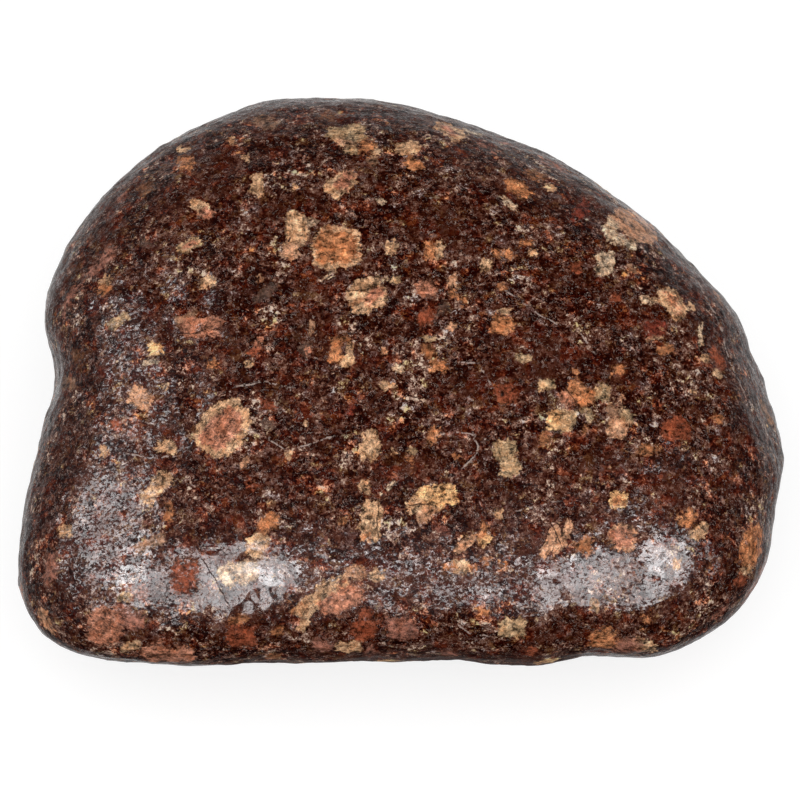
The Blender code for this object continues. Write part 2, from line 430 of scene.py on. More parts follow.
warmPatches = {
    "peach": (
        (24, 16.2, 3.4, 1.7, -35), (27.3, 8, 2.8, 0.9, -60), (-2.8, 8.4, 1.2, 0.9, 35),
    ),
    "salmon": (
        (-5.8, -21.8, 4.8, 2.5, 30), (-19.6, 16.9, 1.5, 1, -30), (-21.3, 13.7, 1.8, 0.8, 25),
        (-5.5, 20.2, 2.2, 1.6, 50), (4.9, 25.2, 2.2, 1, -35), (2.4, 9.4, 2.1, 1.7),
        (-20, 5.6, 4.2, 2.2, 5), (-17.9, -4.7, 4.7, 3.2, 48), (-2.7, 8.8, 2.4, 1.6, 35),
        (-14.1, 4.1, 1.2, 1), (16.6, -1.9, 1.9, 1.6, 60), (22.2, -15.5, 2.4, 2, 10),
        (-29.6, -24.4, 4, 4, -15), (-23.3, -27.4, 5.4, 1.8, -5), (-9.2, 3, 0.8, 0.7),
    ),
    "orange": (
        (-21.5, 21.9, 1.6, 1.2), (-29.8, 9.3, 1.4, 1.1, 45), (-3.4, 23.5, 1.7, 1.4, -20),
        (-6.5, 13.5, 4.2, 3.6), (-0.8, 13.6, 0.8, 0.7), (-17.5, 24.2, 0.7, 0.6),
        (1.4, 21.9, 2.2, 1.2, -10), (11.5, 19.5, 3, 1.4, -35), (2.9, 13.3, 1.8, 1, 90),
        (12.8, 13.9, 1.4, 0.8), (9.5, 12.8, 1, 0.8, 90), (10.6, 12.6, 1.2, 0.8), (9.9, 9.6, 0.8, 0.6),
        (5.8, 8.5, 2, 0.8, -30), (31.7, 8.5, 1.6, 0.5, -60), (-18.8, 1.8, 1.2, 1),
        (-6.6, 3.2, 2.5, 1.4, 90), (10.1, 5.7, 2.3, 2), (3.6, 1.5, 2, 1.1, 10), (10.1, -2.3, 0.9, 0.8),
        (3.2, -5.2, 1.9, 1.1, 80), (5.4, -7.8, 1, 0.6, 90), (0.7, -7.8, 1, 0.8),
        (-3.4, -15.3, 1.3, 1, 80), (8.2, -14.9, 1.8, 0.9, 60), (4.9, -18.5, 1, 0.7),
        (7.2, -18.5, 0.9, 0.6), (8.5, -17.8, 1, 0.7, -20), (10.4, -18.5, 1, 0.7, 30),
        (18, -1.1, 2.8, 2.2, -20), (17.4, 0.5, 1.2, 0.5, 90), (21.1, 0.7, 1.2, 0.5, 80),
        (21.9, -11.8, 1.2, 1.1), (35.3, -16.4, 4.2, 2.2, 68), (28.7, -13.7, 2, 1.6, 30),
        (20.2, -26, 2.6, 2), (21.9, 1.3, 1.2, 0.8), (24.4, -23.8, 1.2, 1.2),
        (-13.3, -14.1, 2.4, 1.7, 50), (8.4, -23, 0.8, 0.6),
    ),
    "ochre": (
        (13.6, 20.6, 2.2, 1, -15), (-5.8, 4.2, 1.7, 0.8), (2.7, 3.1, 1.5, 1.4), (14.4, -5.8, 1.6, 1, 80),
        (18.4, -4.8, 1.2, 0.7, 60), (31.7, -3.6, 1, 0.8), (24.6, -6.8, 2.6, 1.2), (26.4, 3.2, 1.6, 0.9),
        (-23.3, -13, 2.2, 0.9, 80), (-21.4, -18, 1.6, 0.7, 10), (-16.1, -23.8, 2.3, 0.9),
        (-12.9, -27.4, 1.6, 1), (-12.3, -25, 1, 0.8, 90), (18.5, -16.3, 2.2, 1.7, 70),
        (-5.8, -13.8, 0.8, 0.6, 90), (-7.2, 15, 1.2, 1), (-4.4, 8.1, 1.2, 1), (-10.5, -22.7, 1.3, 1.1),
    ),
    "rust": (
        (-14.7, 2.8, 1.4, 1, 60), (17.4, 11.4, 1.5, 1.3), (21.4, 8.4, 1.2, 1), (-28.4, -4.3, 1.6, 1.4),
        (-10.9, 7.7, 0.8, 0.8), (-13.3, -2.3, 1.8, 1, -15), (2.4, 6.4, 2, 1.5, 90),
        (10.5, -1.3, 2.4, 1.9, 90), (-14.9, -10.3, 1.3, 1.2), (27.6, -4.7, 3, 2.5, 10),
        (25.7, -2.6, 1.4, 0.6, 60), (31.6, 2.4, 2.4, 1.3, -60), (25.6, -12, 0.9, 0.8),
        (34.1, -19.8, 1.4, 0.8, 70), (-21.6, -19.4, 3.6, 2.5, 80), (-16, -25.5, 3.2, 2.2),
        (-3.7, -24.6, 3, 2.5, 60), (12.9, -26.8, 1.4, 0.8), (-4.9, 13.4, 2, 0.9, 90),
        (-5.8, -19.9, 1.2, 0.6), (-30.4, -25, 2.2, 1.8, -40),
    ),
    "red": (
        (-16.6, 15.3, 0.8, 0.6, 90), (-5.1, -3, 0.8, 0.8), (25.4, 5.2, 1.9, 1.8),
        (18, 17.2, 2.2, 1.4, 60), (21.4, -15, 0.8, 0.7),
    ),
    "pink": (
        (-27.9, 18.6, 1.4, 0.5, 40), (-30, 12, 4.5, 0.9, 55), (-33.3, 8.2, 3.5, 0.5, 60),
        (8.7, 23.3, 2, 0.3, -30), (15.3, 21.5, 3, 0.8, -30), (10.6, 23.8, 2, 0.6, -15),
        (-35.1, -18.6, 3.4, 1.4, 85), (-26.1, -21.1, 1.6, 1.3), (-27.2, -23.6, 3, 2.4),
        (22.8, -26.6, 2.4, 1.4, -10), (-3, -26.8, 1.2, 1.2), (-7.9, -26.3, 2, 1.4), (0, -24.8, 3.2, 2.3),
        (5, -27.2, 1.8, 0.6), (31.9, -23, 2.4, 0.5, 35),
    ),
    "faintPink": (
        (4, -15, 1.6, 1), (-25.8, -14, 1.4, 1), (-8, -16, 1.2, 0.8, 20),
    ),
    "faintOchre": (
        (-25.4, 19.4, 1.8, 1.4), (-7.3, 26.5, 1.7, 0.9, -10), (-32.4, 2.6, 1.6, 1.4),
        (31.9, 8.2, 0.8, 0.6), (8.4, -25.8, 0.9, 0.6),
    ),
}

# Thin lines along their points: pale ones are painted highlights on chipped edges, dark ones are cracks.
chipGlintLines = (
    ((-30.1, -3.7), (-28.1, -3.4), (-24.9, -4.2)),
    ((-16.1, -0.4), (-13.9, 0), (-11.1, -0.5)),
    ((-15.6, -4.8), (-13.9, -5.2), (-11.9, -6.6)),
    ((-10.8, -6.8), (-7.1, -5.5), (-5.9, -6.3)),
    ((3.9, -5.3), (5.4, -4.9), (7.1, -5.2), (7.7, -6.3), (7.5, -7.3), (6.4, -8.3)),
    ((5.9, 2), (7.4, 1.9)),
    ((8.2, 1), (8.7, 0.2)),
    ((8.9, -0.1), (9.8, -1)),
    ((10.4, 9.2), (11.9, 8.2), (13.9, 6.7), (15.9, 5.7)),
    ((18.2, 4.5), (19.1, 3.2)),
    ((11.9, -12.8), (15.4, -12)),
    ((5.9, -24.4), (6.9, -25.2), (8.4, -25.4)),
    ((12.9, -20.5), (13.4, -21.8), (14.4, -23.1)),
    ((10.6, -21.8), (11.4, -22.4), (12.9, -22.5)),
    ((-19.6, -16.6), (-16.1, -16.6), (-14.3, -17.8), (-12.6, -19.3)),
    ((-22.6, -7.4), (-24.9, -7.6), (-27.1, -7.2)),
    (
        (29.9, 9.7), (31.4, 6.7), (32.1, 5.2), (32.6, 2.7), (33.4, 1), (34.4, -1.3), (35.4, -2.8),
        (36.4, -4.8),
    ),
)
darkLines = (
    ((16.5, -0.7), (17.3, -1.7), (17.9, -2.5), (18, -3.2)),
    ((-22.6, 4.9), (-20.4, 4.9), (-18.4, 5.4)),
    ((-6.4, 9), (-4.4, 9.2), (-2.7, 8.9)),
    ((-2.3, -12.3), (-2.4, -14.2), (-2.1, -16)),
    ((0.9, -12.3), (2.1, -12.2), (3.1, -12.3)),
    ((15.1, -14.3), (15.9, -16), (16.4, -17.4)),
    ((-19.8, -17.8), (-18.6, -19.8), (-17.3, -22.1)),
    ((35.4, -5.3), (36.4, -6.1), (36.9, -6.5)),
)


# Where the stone is worn to a polish, and where its polish is broken. Elsewhere it is polished in between.
polish = {
    "between": 0.34,
    "dulling": 0.7,  # how much of it is gone from the dull patches
    "edge": 2.4,  # mm over which one turns into the other
    # each bright patch has a sixth number: how far it goes from the polish in between to a whole one
    "bright": (
        (-17.5, -20.2, 12.5, 6, -8, 1), (-14, -19, 7.5, 5, -30, 1),
        (-25, -20.4, 5.4, 3.4, 12, 0.85), (18.6, -19.9, 10.4, 5.2, 20, 0.8),
        (26.4, -17.9, 4.6, 4.4, 0, 1), (24.4, -21.2, 4.4, 2.2, 10, 0.8),
        (30.8, -13.6, 1.8, 4.2, -10, 0.8), (-29, -14, 7.5, 9, 0, 0.42),
        (-28, -18.8, 7.5, 3.8, -10, 0.45), (21, -19, 14, 7.5, 12, 0.25),
        (3, -20.8, 17, 4, 0, 0.12), (6.5, -21, 7.5, 2.6, 0, 0.3),
    ),
    "dull": (
        (-21.6, -19.4, 3.2, 3.8, 0), (-6.3, -21.6, 9, 3, 31), (-28.8, -25.2, 6, 4, 0),
        (22.2, -15.5, 3.4, 3, 0), (15.6, -15.7, 3, 4, 65), (0, -28, 36, 4, 0),
    ),
}

# How patches and lines lie on the stone. Facing is the cosine of the angle between two ways.
laying = {
    "squareness": 3.0,  # of a patch's outline: 2 is an ellipse, more is nearer a box
    "softness": 0.12,  # mm over which neighbouring patches blend
    "seenFacing": 0.12,  # a point that faces the camera less than this is not used as a middle
    "steepest": 0.42,  # a patch is laid as if its surface faced the camera at least this much
    "sameSide": 0.1,  # a patch reaches only points that face its own way more than this
    "depths": (-2.5, 3),  # mm, the depths that are told apart
    "teeth": 1.6,  # how many a patch's edge has, for its size: this makes them 0.3 mm wide
    "lineFacing": 0.05,  # a line reaches only points that face the camera more than this
    "lineReach": 0.9,  # mm from a line at which it is forgotten
    "lineFade": 0.5,  # mm past a line's end over which it fades
}


def surfaceUnder(place):
    # The nearest point of the picture that faces the camera, and its normal, turned back if it is too steep.
    facing = normals @ wAxis > laying["seenFacing"]
    gap = ((seen - place) ** 2).sum(axis=1) + np.where(facing, 0, 1e6)
    nearest = int(np.argmin(gap))
    normal = normals[nearest]
    steepest = laying["steepest"]
    if normal @ wAxis < steepest:
        side = normal - (normal @ wAxis) * wAxis
        normal = steepest * wAxis + np.sqrt(1 - steepest ** 2) * side / np.linalg.norm(side)
    return points[nearest], normal


def patchAxes(place, turn=0):
    # Middle of a patch on the surface, and the two rates at which a point's offset from it counts as length
    # and width: the offset is laid down on the surface's tangent plane and then seen from the camera.
    middle, normal = surfaceUnder(place)
    middle = middle + (place[0] - pictured(middle[None])[0, 0]) * uAxis
    middle = middle + (place[1] - pictured(middle[None])[0, 1]) * vAxis
    acrossU = uAxis - (normal @ uAxis) * normal
    acrossV = vAxis - (normal @ vAxis) * normal
    turn = radians(turn)
    along = cos(turn) * acrossU + sin(turn) * acrossV
    aside = cos(turn) * acrossV - sin(turn) * acrossU
    return middle, normal, along, aside


def patchDepth(offset, along, aside, length, width):
    # Signed depth in mm inside a rounded box: (1 - q) / slope of q, where q = (|a|^p + |b|^p)^(1/p).
    power = laying["squareness"]
    a = np.abs(offset @ along) / (length / 2) + 1e-4
    b = np.abs(offset @ aside) / (width / 2) + 1e-4
    q = (a ** power + b ** power) ** (1 / power)
    slopeA = (a / q) ** (power - 1) / (length / 2)
    slopeB = (b / q) ** (power - 1) / (width / 2)
    return (1 - q) / np.hypot(slopeA, slopeB)


def faceArea():
    # The area around each point: a quarter of each face that meets there.
    area = np.linalg.norm(facesAcross(points, faces), axis=1) / 2
    return sum(np.bincount(faces[:, corner], area, len(points)) for corner in range(4)) / 4


class Layer:
    # One layer of patches on the stone's points: how deep each point lies in the patches and their colour
    # there, blended where patches meet, and the point's place on the patch that it lies deepest in.
    def __init__(self):
        count = len(points)
        self.total = np.full(count, np.exp(-3 / laying["softness"]))
        self.colour = np.zeros((count, 4))
        self.weight = np.full(count, 1e-30)
        self.best = np.full(count, -9.0)
        self.grain = np.zeros((count, 3))
        self.rays = np.zeros((count, 3))

    def lay(self, middle, normal, along, aside, length, width, colour, cover):
        # Adds a patch: each point is pulled to its colour by e to the power of its depth over the softness.
        offset = points - middle
        near = (offset ** 2).sum(axis=1) < (length / 2 * 2.4 + 2) ** 2
        near &= normals @ normal > laying["sameSide"]
        offset = offset[near]
        depth = np.clip(patchDepth(offset, along, aside, length, width), *laying["depths"])
        pull = np.exp(depth / laying["softness"])
        self.total[near] += pull
        self.weight[near] += pull
        self.colour[near] += pull[:, None] * np.array((*linear(*colour), cover))
        closer = depth > self.best[near]
        index = np.where(near)[0][closer]
        self.best[index] = depth[closer]
        seed = (middle @ (7.31, 3.77, 5.13)) % 50
        a = offset @ along
        b = offset @ aside
        self.grain[index] = np.stack([a, b, np.full(len(a), seed)], axis=1)[closer]
        # Teeth all round the edge come from noise read along the direction from the middle.
        out = np.hypot(a / length, b / width) + 1e-6
        spread = laying["teeth"] * np.sqrt(length * width) / out
        rays = np.stack([a / length * spread, b / width * spread, seed + 0.8 * np.hypot(a, b)], axis=1)
        self.rays[index] = rays[closer]

    def depth(self):
        return laying["softness"] * np.log(self.total)

    def tone(self):
        return self.colour / self.weight[:, None]


def layPatches(layer, tones, patches):
    # Lays every patch of every tone where its place shows in the picture.
    for name, rows in patches.items():
        colour, cover = tones[name]
        for u, v, length, width, *turn in rows:
            middle, normal, along, aside = patchAxes((u, v), *turn)
            layer.lay(middle, normal, along, aside, length, width, colour, cover)


# Crystals where the camera doesn't reach. A tone that is named twice is drawn twice as often.
hidden = {
    "seed": 5,
    "count": 190,
    "facing": 0.10,  # they lie where the stone faces the camera less than this
    "shortest": 0.7, "longest": 6.0,  # mm
    "spread": (1.5, 1.1),  # of the lengths past the shortest: shape and scale of a gamma curve
    "slimness": (0.4, 0.95),  # width over length
    "paleUpTo": 0.62, "warmFrom": 0.38,  # of a draw from 0 to 1: between them a crystal is both
    "core": 0.62,  # size of a warm core in a pale crystal
    "coreShift": 0.12,  # how far off the middle it lies, over the crystal's length
    "pale": ("cream", "cream", "gold", "greenCream", "pinkCream", "pinkCream", "tan"),
    "warm": ("salmon", "orange", "orange", "ochre", "rust", "pink"),
}


def layHidden(pale, warm):
    # Places drawn evenly over the hidden area. Each crystal is pale, pale with a warm core, or warm.
    draw = np.random.default_rng(hidden["seed"])
    area = faceArea()
    free = np.where(normals @ wAxis < hidden["facing"])[0]
    chosen = draw.choice(free, size=hidden["count"], replace=False, p=area[free] / area[free].sum())
    shape, scale = hidden["spread"]
    for index in chosen:
        length = min(hidden["shortest"] + draw.gamma(shape) * scale, hidden["longest"])
        width = length * draw.uniform(*hidden["slimness"])
        normal = normals[index]
        way = np.cross(normal, draw.normal(size=3))
        along = way / np.linalg.norm(way)
        aside = np.cross(normal, along)
        kind = draw.random()
        shift = draw.uniform(-hidden["coreShift"], hidden["coreShift"], 2) * length
        paleName = hidden["pale"][draw.integers(len(hidden["pale"]))]
        warmName = hidden["warm"][draw.integers(len(hidden["warm"]))]
        if kind < hidden["paleUpTo"]:
            pale.lay(points[index], normal, along, aside, length, width, *paleTones[paleName])
        if kind > hidden["warmFrom"]:
            core = hidden["core"] if kind < hidden["paleUpTo"] else 1.0
            middle = points[index] + shift[0] * along + shift[1] * aside
            warm.lay(middle, normal, along, aside, core * length, core * width, *warmTones[warmName])


def lineField(lines):
    # Signed distance to the nearest line, and a window that is 1 on the line and 0 at its reach and past
    # its ends, with 0 as the third number.
    reach = laying["lineReach"]
    signed = np.full(len(points), reach)
    window = np.zeros(len(points))
    for line in lines:
        line = np.array(line)
        for start, end in zip(line[:-1], line[1:]):
            length = np.linalg.norm(end - start)
            way = (end - start) / length
            offset = seen - start
            along = offset @ way
            aside = offset @ np.array((-way[1], way[0]))
            over = np.maximum(0, np.maximum(-along, along - length))
            distance = np.hypot(aside, over)
            closer = (distance < np.abs(signed)) & (normals @ wAxis > laying["lineFacing"])
            signed[closer] = aside[closer]
            window[closer] = np.clip(1.6 - 1.6 * over[closer] / laying["lineFade"], 0, 1)
    window *= np.clip(2 - 2 * np.abs(signed) / reach, 0, 1)
    return np.stack([signed, window, np.zeros(len(points))], axis=1)


def shareField(rows, edge):
    # How far inside these patches each point lies: 0 outside, rising softly over the edge to 1 or to the
    # row's own share.
    most = np.zeros(len(points))
    for u, v, length, width, turn, *share in rows:
        middle, normal, along, aside = patchAxes((u, v), turn)
        depth = patchDepth(points - middle, along, aside, length, width)
        part = np.clip(0.5 + depth / edge, 0, 1) * (normals @ normal > laying["sameSide"])
        most = np.maximum(most, part * part * (3 - 2 * part) * (share[0] if share else 1))
    return most


pale = Layer()
warm = Layer()
layPatches(pale, paleTones, palePatches)
layPatches(warm, warmTones, warmPatches)
layHidden(pale, warm)
bright = shareField(polish["bright"], polish["edge"])
dull = shareField(polish["dull"], polish["edge"] / 3)
polished = (polish["between"] + (1 - polish["between"]) * bright) * (1 - polish["dulling"] * dull)
inPale = (pale.best > warm.best)[:, None]
print("crystals laid:", sum(map(len, palePatches.values())), "pale and",
      sum(map(len, warmPatches.values())), "warm patches in front")


def makeMesh(name, points, faces):
    # A smooth mesh of four-cornered faces, from points in mm.
    mesh = bpy.data.meshes.new(name)
    mesh.vertices.add(len(points))
    mesh.vertices.foreach_set("co", (points * mm).astype(np.float32).ravel())
    mesh.loops.add(faces.size)
    mesh.loops.foreach_set("vertex_index", faces.astype(np.int32).ravel())
    mesh.polygons.add(len(faces))
    mesh.polygons.foreach_set("loop_start", np.arange(0, faces.size, 4, dtype=np.int32))
    mesh.update(calc_edges=True)
    mesh.validate()
    mesh.shade_smooth()
    thing = bpy.data.objects.new(name, mesh)
    bpy.context.collection.objects.link(thing)
    return thing


def giveAttribute(mesh, name, values):
    # Numbers, vectors or colours on the points, by how many columns the values have.
    kinds = {1: ("FLOAT", "value"), 3: ("FLOAT_VECTOR", "vector"), 4: ("FLOAT_COLOR", "color")}
    kind, entry = kinds[values[0].size]
    data = mesh.attributes.new(name, kind, "POINT").data
    data.foreach_set(entry, values.astype(np.float32).ravel())


stone = makeMesh("porphyry_stone", points, faces)
for name, values in {
    "paleDepth": pale.depth(), "warmDepth": warm.depth(), "paleTone": pale.tone(), "warmTone": warm.tone(),
    "grain": np.where(inPale, pale.grain, warm.grain), "rays": np.where(inPale, pale.rays, warm.rays),
    "polish": polished, "paleLine": lineField(chipGlintLines), "darkLine": lineField(darkLines),
}.items():
    giveAttribute(stone.data, name, values)

# The stone's material. Sizes are in mm, and a texture's grain is about 1 over its scale. A noise is given as
# its shift, which keeps it unlike the others, its scale, how many finer layers it has, and their roughness.
ground = {
    # what bends all the textures, and what makes the grains ragged: scale, finer layers, mm
    "bend": (2.5, 2, 0.6), "ragged": (5.0, 1, 0.5),
    # blotches, mottles and crumbs: noise, contrast
    "layers": (((0, 0.3, 2), 0.85), ((7, 1.1, 2), 1.2), ((14, 4.0, 1), 0.9)),
    # grains, large and small: scale, contrast
    "grains": ((1.4, 0.22), (3.1, 0.46)),
    # how much more mottled some parts are than others: noise, contrast, least
    "unevenness": ((88, 0.2, 2, 0.6), 2.8, 0.3),
    "middle": 0.43,  # where the mean lightness falls on the tones
    "tones": (
        (0.0, linear(20, 1, 0)), (0.20, linear(30, 4, 1)), (0.33, linear(44, 11, 4)),
        (0.41, linear(55, 22, 10)), (0.48, linear(66, 31, 20)), (0.56, linear(79, 43, 32)),
        (0.68, linear(99, 65, 52)), (0.80, linear(132, 100, 86)), (0.90, linear(168, 139, 122)),
        (1.0, linear(205, 182, 162))),
    # redder, greyer and more olive parts: times the ground's colour, noise, the level at which they begin
    "hues": (
        ((1.35, 0.68, 0.42), (31, 0.55, 3, 0.6), 0.02), ((0.82, 1.0, 1.32), (54, 0.6, 3, 0.6), 0.04),
        ((1.0, 1.05, 0.62), (77, 0.7, 3, 0.6), 0.02)),
    "hueEdge": 0.10, "hueAmount": 0.85,
    # painted glints, thin pale curls: the noise whose zero they follow, and the noise that picks where they
    # show
    "glintCurls": (((93, 1.3, 2), (98, 1.4, 2)), ((71, 2.2, 2), (76, 1.4, 2))),
    "curlWidth": (0.004, 0.014), "curlPlaces": (0.04, 0.10), "curlAmount": 0.6,
    # the pale colour of the painted glints, on the curls and on the chipped edges' lines
    "fleck": linear(190, 170, 160),
}
crystals = {
    # how far their edges wander, in mm: waves and crumbs with their noise, and teeth
    "waves": ((5, 0.9, 3, 0.6), 1.3), "crumbs": ((15, 3.0, 2), 0.45), "teeth": 0.8,
    "warmFringe": ((42, 0.7, 3), 2.0),  # how much more the warm ones' edges wander
    # the depths in mm between which they begin
    "paleBorder": (-0.05, 0.15), "warmBorder": (-0.15, 0.30),
    # inside: lightness, mottles (noise, contrast), streaks drawn along the length, grains of the ground
    "lightness": 0.96,
    "mottles": (((22, 0.9, 4, 0.8), 4.2), ((19, 2.2, 2), 1.6)),
    "streakScale": (0.9, 3.2, 1.0), "streaked": 1.6, "grainy": 0.7,
    "darkest": 0.12, "contrast": 1.3, "palest": (0.85, 0.8, 0.75),
    # cracks: noise, how far streaks bend them, width, depth of tone
    "cracks": ((48, 0.9, 3, 0.6), 0.4, (0.004, 0.020), 0.6),
    # deeper and paler parts: noise, where they begin and are full, times the crystal's colour
    "parts": (
        ((75, 0.8, 4, 0.9), (0.0, 0.08), (0.84, 0.64, 0.5)),
        ((29, 0.9, 4, 0.9), (0.01, 0.07), (1.08, 1.25, 1.4))),
    "partAmount": 0.7,
}
marks = {
    "shake": ((55, 1.2, 2), 0.5),  # how far they wander, in mm
    "darkWidth": 0.09, "darkAmount": 0.8,
    # the pale lines are painted highlights, the glint of chipped edges
    "glintWidth": 0.10, "glintAmount": 0.6, "glintBreaks": ((61, 1.5, 2), (-0.05, 0.05)),
}
coating = {
    "base": 0.6,  # its weight where the stone has no polish; it is 1 where it is whole
    # what breaks it: patches (noise, contrast), and flecks (scale, finer layers, roughness)
    "patches": ((83, 0.7, 2, 0.7), 0.7),
    "fleckStretch": (0.6, 1.1, 1.1), "flecks": (3.4, 2, 0.7), "fleckContrast": 3.2,
    "threshold": (0.40, 0.78),  # of polish and flecks together, where it begins and is full
    "wrinkles": ((97, 1.1, 2, 0.7), (0.010, 0.030), 0.7),  # noise, width, depth
    "uneven": ((63, 0.4, 2), 0.85, 2.0),  # noise, mean, contrast
    "lostOnPale": 0.5, "lostInCracks": 0.8,
    "roughness": 0.07, "ior": 1.5,
    # what lies under it: its gloss, and its roughness as the polish goes from the first number to the second
    "specularUnder": 0.02, "roughUnder": (0.0, 0.35, 0.5, 0.2),
    # relief finer than the mesh: noise, mm, and how it fades as the polish becomes whole
    "relief": ((38, 2.0, 2, 0.7), 0.10, (0.5, 0.9, 1, 0.25)),
}


def porphyry():
    # Colour: the ground's, with crystals and then thin lines mixed over it; the pale lines and curls are
    # painted
    # glints. Coat: polish and flecks together against a threshold, less wrinkles and cracks.
    material = bpy.data.materials.new("porphyry_polished")
    board = Board(material)
    place = board.scaled(board.add("ShaderNodeTexCoord", None, None, "Object"), 1 / mm)

    def shaken(start, scale, detail, amount):
        # Places moved by up to the amount in mm each way.
        push = board.noise(place, scale, detail, output="Color")
        return board.vector("MULTIPLY_ADD", push, (amount,) * 3, start)

    bent = shaken(place, *ground["bend"])
    ragged = shaken(bent, *ground["ragged"])

    def field(shift, scale, detail, roughness=0.8):
        # Noise around 0 that is unlike the other fields.
        return board.noise(board.vector("ADD", bent, (shift, 0, 0)), scale, detail, roughness) - 0.5

    def ridge(value, thin, thick):
        # 1 where a value is nearly 0, and 0 on both sides of that.
        return board.step(board.maths("ABSOLUTE", value), thin, thick, 1, 0)

    # The ground: light and dark at every size from blotches to crumbs, in grains, redder in some parts and
    # greyer or more olive in others, with thin pale curls that are painted glints.
    noise, contrast, least = ground["unevenness"]
    rough = board.maths("MAXIMUM", 1 + contrast * field(*noise), least)
    lightness = ground["middle"]
    for noise, contrast in ground["layers"]:
        lightness = lightness + contrast * rough * field(*noise)
    for scale, contrast in ground["grains"]:
        cells = board.add("ShaderNodeTexVoronoi", None, {"Vector": ragged, "Scale": scale}, "Color")
        grains = board.add("ShaderNodeSeparateColor", None, {"Color": cells}, "Red") - 0.5
        lightness = lightness + contrast * rough * grains
    colour = board.add("ShaderNodeValToRGB", {"stops": ground["tones"]}, {"Fac": lightness})
    for factor, noise, level in ground["hues"]:
        here = board.step(field(*noise), level, level + ground["hueEdge"])
        colour = board.mixed(ground["hueAmount"] * here, colour, board.vector("MULTIPLY", colour, factor))
    # Painted glints: thin pale curls of the glint colour mixed into the ground's colour.
    for noise, places in ground["glintCurls"]:
        curl = ridge(field(*noise), *ground["curlWidth"]) * board.step(field(*places), *ground["curlPlaces"])
        colour = board.mixed(ground["curlAmount"] * curl, colour, (*ground["fleck"], 1))

    # Crystals: their edges wander, and inside they are mottled, streaked along their length and cracked.
    (waveNoise, waveSize), (crumbNoise, crumbSize) = crystals["waves"], crystals["crumbs"]
    wander = waveSize * field(*waveNoise) + crumbSize * field(*crumbNoise)
    wander = wander + crystals["teeth"] * (board.noise(board.attribute("rays", "Vector"), 1.0, 1) - 0.5)
    noise, size = crystals["warmFringe"]
    paleEdge = board.step(board.attribute("paleDepth") + wander, *crystals["paleBorder"])
    warmDepth = board.attribute("warmDepth") + wander + size * field(*noise)
    warmEdge = board.step(warmDepth, *crystals["warmBorder"])
    lengthwise = board.vector("MULTIPLY", board.attribute("grain", "Vector"), crystals["streakScale"])
    streak = board.noise(lengthwise, 1.0, 3, 0.6) - 0.5
    shade = crystals["lightness"]
    for noise, contrast in crystals["mottles"]:
        shade = shade + contrast * field(*noise)
    shade = shade + crystals["streaked"] * streak + crystals["grainy"] * grains
    noise, bend, width, depth = crystals["cracks"]
    crack = ridge(field(*noise) + bend * streak, *width)
    shade = board.maths("MAXIMUM", shade * (1 - depth * crack), crystals["darkest"]) ** crystals["contrast"]
    parts = [(board.step(field(*noise), *edge), factor) for noise, edge, factor in crystals["parts"]]
    for name, edge in (("pale", paleEdge), ("warm", warmEdge)):
        tone = board.attribute(name + "Tone", "Color")
        for part, factor in parts:
            tone = board.mixed(crystals["partAmount"] * part, tone, board.vector("MULTIPLY", tone, factor))
        tone = board.vector("MINIMUM", board.scaled(tone, shade), crystals["palest"])
        colour = board.mixed(edge * board.attribute(name + "Tone", "Alpha"), colour, tone)

    def line(name, width):
        # How much of a thin line lies here: its signed distance, shaken a little, against its width.
        noise, size = marks["shake"]
        distance, window, _ = board.parts(board.attribute(name, "Vector"))
        return window * ridge(distance + size * field(*noise), width * 0.4, width)

    # The pale lines are painted highlights, the glint of chipped edges; the dark lines are cracks.
    darkMark = line("darkLine", marks["darkWidth"])
    glintMark = line("paleLine", marks["glintWidth"])
    colour = board.mixed(darkMark * marks["darkAmount"], colour, (*ground["tones"][0][1], 1))
    noise, edge = marks["glintBreaks"]
    glintMark = glintMark * board.step(field(*noise), *edge)
    colour = board.mixed(glintMark * marks["glintAmount"], colour, (*ground["fleck"], 1))

    # The polish is a clear coat that is whole on the bright spalls and broken into flecks elsewhere, with
    # thin wrinkles all over. The stone under it has next to no gloss of its own.
    gloss = board.attribute("polish")
    noise, contrast = coating["patches"]
    combed = board.vector("MULTIPLY", bent, coating["fleckStretch"])
    flecks = coating["fleckContrast"] * (board.noise(combed, *coating["flecks"]) - 0.5)
    flecks = contrast * field(*noise) + flecks
    base = coating["base"]
    coat = board.step(flecks + gloss, *coating["threshold"]) * (base + (1 - base) * gloss)
    noise, width, depth = coating["wrinkles"]
    coat = coat * (1 - depth * ridge(field(*noise), *width)) * (1 - coating["lostOnPale"] * paleEdge)
    noise, mean, contrast = coating["uneven"]
    coat = coat * (mean + contrast * field(*noise))
    coat = coat * (1 - darkMark) * (1 - coating["lostInCracks"] * crack * warmEdge)
    coat = board.maths("MINIMUM", board.maths("MAXIMUM", coat, 0), 1)
    noise, size, fade = coating["relief"]
    height = size * field(*noise) * board.step(gloss, *fade)
    bump = board.add("ShaderNodeBump", None, {"Strength": 1.0, "Distance": mm, "Height": height})

    shader = board.tree.nodes["Principled BSDF"]
    board.plug(shader, "Base Color", colour)
    board.plug(shader, "Roughness", board.step(gloss, *coating["roughUnder"]))
    board.plug(shader, "Normal", bump)
    board.plug(shader, "Coat Weight", coat)
    shader.inputs["Specular IOR Level"].default_value = coating["specularUnder"]
    shader.inputs["Coat Roughness"].default_value = coating["roughness"]
    shader.inputs["Coat IOR"].default_value = coating["ior"]
    return material


stone.data.materials.append(porphyry())
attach(stone, "root")
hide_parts("porphyry_pebble")
print("stone made and painted")

